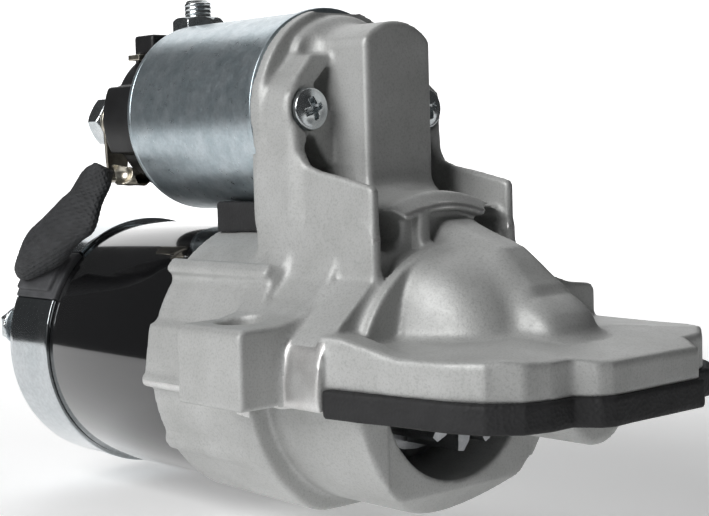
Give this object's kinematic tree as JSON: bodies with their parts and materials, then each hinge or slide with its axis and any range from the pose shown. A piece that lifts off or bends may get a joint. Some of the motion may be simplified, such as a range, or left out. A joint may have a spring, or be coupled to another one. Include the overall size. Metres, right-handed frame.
{
  "type": "starter motor",
  "caption": "Geared starter motor: cast drive-end housing with hooded nose, black yoke, zinc rear cover and piggyback solenoid that throws the pinion forward.",
  "frame": {"origin": "on the motor axis, in the plane of the mounting flange", "axes": "+X along the output shaft to the nose, +Z from the motor to the solenoid, +Y to the far mounting lug"},
  "size_m": [0.2112, 0.112, 0.1369],
  "materials": {
    "cast_aluminium": "sand-cast, blasted, machined on the pilot",
    "zinc_plate": "bright zinc plating",
    "fastener_zinc": "bright zinc plating",
    "black_paint": "gloss black",
    "black_phenolic": "moulded matte",
    "foam_rubber": "closed-cell foam",
    "moulded_rubber": "matte",
    "steel": "machined and oiled",
    "laminations": "stacked sheet",
    "ferrite": "ground ferrite",
    "copper": "enamelled copper",
    "bronze": "sintered bronze",
    "carbon": "copper-graphite",
    "braided_sleeve": "woven sleeve",
    "tinned_copper": "tinned copper"
  },
  "bodies": {
    "housing": {"drive_end_housing": "cast_aluminium", "bell_seal": "foam_rubber", "lever_seal": "foam_rubber", "yoke": "black_paint", "rear_cover": "zinc_plate", "lead_grommet": "moulded_rubber", "through_bolt_left": "fastener_zinc", "through_bolt_right": "fastener_zinc", "rear_bearing": "bronze", "brush_holder": "black_phenolic", "gear_cover_plate": "steel", "ring_gear": "steel", "shaft_bracket": "steel", "centre_bushing": "bronze", "nose_bushing": "bronze", "lever_pivot": "steel", "solenoid_case": "zinc_plate", "coil_bobbin": "black_phenolic", "solenoid_coil": "copper", "solenoid_core": "steel", "plunger_spring": "steel", "solenoid_cap": "black_phenolic", "battery_stud": "fastener_zinc", "motor_terminal_stud": "fastener_zinc", "signal_terminal": "tinned_copper", "lead_lug": "tinned_copper", "battery_nut": "fastener_zinc", "motor_terminal_nut": "fastener_zinc", "solenoid_screw_left": "fastener_zinc", "solenoid_screw_right": "fastener_zinc", "motor_lead": "braided_sleeve", "magnet_1": "ferrite", "magnet_2": "ferrite", "magnet_3": "ferrite", "magnet_4": "ferrite", "magnet_5": "ferrite", "magnet_6": "ferrite", "brush_1": "carbon", "brush_spring_1": "steel", "brush_2": "carbon", "brush_spring_2": "steel", "brush_3": "carbon", "brush_spring_3": "steel", "brush_4": "carbon", "brush_spring_4": "steel"},
    "armature": {"armature_shaft": "steel", "armature_core": "laminations", "winding_front": "copper", "winding_rear": "copper", "commutator": "copper"},
    "output": {"output_shaft": "steel", "stop_collar": "steel"},
    "planet_1": {"planet_gear_1": "steel"},
    "planet_2": {"planet_gear_2": "steel"},
    "planet_3": {"planet_gear_3": "steel"},
    "drive": {"clutch_housing": "steel", "pinion": "steel"},
    "lever": {"shift_lever": "steel"},
    "plunger": {"plunger": "steel"},
    "contact": {"contact_disc": "copper"}
  },
  "joints": [
    {"name": "armature_spin", "type": "hinge", "parent": "housing", "child": "armature", "pos_m": [-0.09, 0, 0], "axis": [1, 0, 0], "continuous": true},
    {"name": "output_spin", "type": "hinge", "parent": "housing", "child": "output", "pos_m": [-0.04, 0, 0], "axis": [1, 0, 0], "continuous": true},
    {"name": "planet_spin_1", "type": "hinge", "parent": "output", "child": "planet_1", "pos_m": [-0.052, 0.01485, 0], "axis": [1, 0, 0], "continuous": true},
    {"name": "planet_spin_2", "type": "hinge", "parent": "output", "child": "planet_2", "pos_m": [-0.052, -0.00743, 0.01286], "axis": [1, 0, 0], "continuous": true},
    {"name": "planet_spin_3", "type": "hinge", "parent": "output", "child": "planet_3", "pos_m": [-0.052, -0.00743, -0.01286], "axis": [1, 0, 0], "continuous": true},
    {"name": "plunger_slide", "type": "slide", "parent": "housing", "child": "plunger", "axis": [-1, 0, 0], "range_m": [0, 0.01], "stiffness_N_per_m": 900, "springref_m": -0.01, "deforming": ["plunger_spring"]},
    {"name": "contact_slide", "type": "slide", "parent": "housing", "child": "contact", "axis": [-1, 0, 0], "range_m": [0, 0.003]},
    {"name": "lever_swing", "type": "hinge", "parent": "housing", "child": "lever", "pos_m": [-0.019, 0, 0.0385], "axis": [0, -1, 0], "range_deg": [0, 20.49]},
    {"name": "drive_slide", "type": "slide", "parent": "output", "child": "drive", "axis": [1, 0, 0], "range_m": [0, 0.0139]}
  ],
  "couplings": [
    {"joint": "output_spin", "follows": "armature_spin", "ratio": 0.2037},
    {"joint": "planet_spin_1", "follows": "armature_spin", "ratio": -0.54745},
    {"joint": "planet_spin_2", "follows": "armature_spin", "ratio": -0.54745},
    {"joint": "planet_spin_3", "follows": "armature_spin", "ratio": -0.54745},
    {"joint": "contact_slide", "follows": "plunger_slide", "ratio": 0.3},
    {"joint": "lever_swing", "follows": "plunger_slide", "rad_per_m": 35.719},
    {"joint": "drive_slide", "follows": "plunger_slide", "ratio": 1.39}
  ]
}
